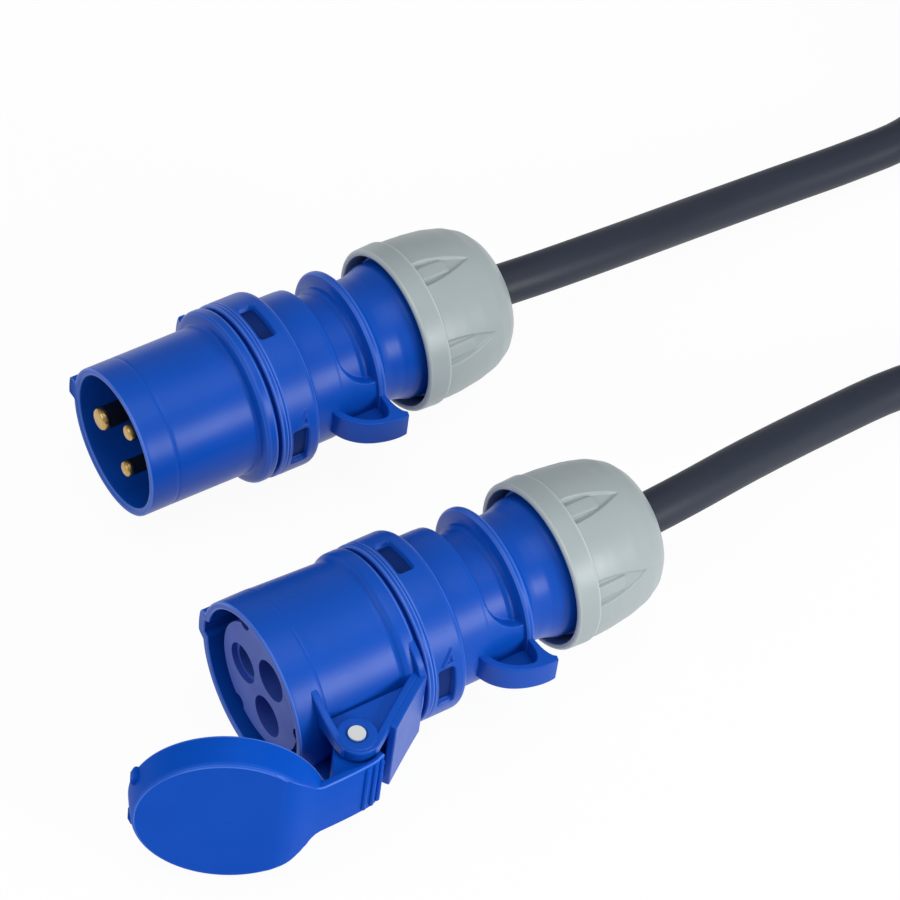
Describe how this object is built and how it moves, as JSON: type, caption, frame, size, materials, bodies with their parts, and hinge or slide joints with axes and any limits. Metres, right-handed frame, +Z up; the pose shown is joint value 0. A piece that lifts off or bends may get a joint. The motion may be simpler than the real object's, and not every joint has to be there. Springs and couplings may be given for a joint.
{
  "type": "extension cable",
  "caption": "Round industrial extension cable: shrouded pin plug, lidded connector with keyed mouth, gland nuts and a coiled rubber lead.",
  "frame": {"origin": "on the floor, under the middle of the plug and connector lying side by side with the lid open", "axes": "+X from the mouths towards the cable, +Y from the connector to the plug, +Z up"},
  "size_m": [0.5584, 0.1935, 0.052],
  "materials": {
    "blue_shell": "satin",
    "blue_insert": "satin",
    "contact_brass": "turned",
    "steel": "satin",
    "grey_nut": "satin",
    "seal_rubber": "matte",
    "clamp_plastic": "satin",
    "core_green": "satin",
    "core_brown": "satin",
    "core_blue": "satin",
    "tie_strap": "woven",
    "cable_sheath": "matte"
  },
  "bodies": {
    "lead": {"plug_front_shell": "blue_shell", "plug_pin_carrier": "blue_insert", "plug_earth_pin": "contact_brass", "plug_line_pin": "contact_brass", "plug_neutral_pin": "contact_brass", "plug_terminal_screws": "steel", "plug_rear_shell": "blue_shell", "plug_gland_seal": "seal_rubber", "plug_gland_clamp": "clamp_plastic", "plug_gland_nut": "grey_nut", "plug_earth_core": "core_green", "plug_line_core": "core_brown", "plug_neutral_core": "core_blue", "connector_front_shell": "blue_shell", "connector_insert": "blue_insert", "connector_earth_sleeve": "contact_brass", "connector_line_sleeve": "contact_brass", "connector_neutral_sleeve": "contact_brass", "connector_terminal_screws": "steel", "connector_rear_shell": "blue_shell", "connector_gland_seal": "seal_rubber", "connector_gland_clamp": "clamp_plastic", "connector_gland_nut": "grey_nut", "connector_earth_core": "core_green", "connector_line_core": "core_brown", "connector_neutral_core": "core_blue", "hinge_pin": "steel", "lid_spring": "steel", "cable_plug_run": "cable_sheath", "cable_coil": "cable_sheath", "cable_connector_run": "cable_sheath", "coil_tie": "tie_strap"},
    "lid": {"lid": "blue_shell"}
  },
  "joints": [
    {"name": "lid_hinge", "type": "hinge", "parent": "lead", "child": "lid", "pos_m": [-0.03015, -0.06905, 0.026], "axis": [0, 0, 1], "range_deg": [-58, 14], "deforming": ["lid_spring"]}
  ]
}
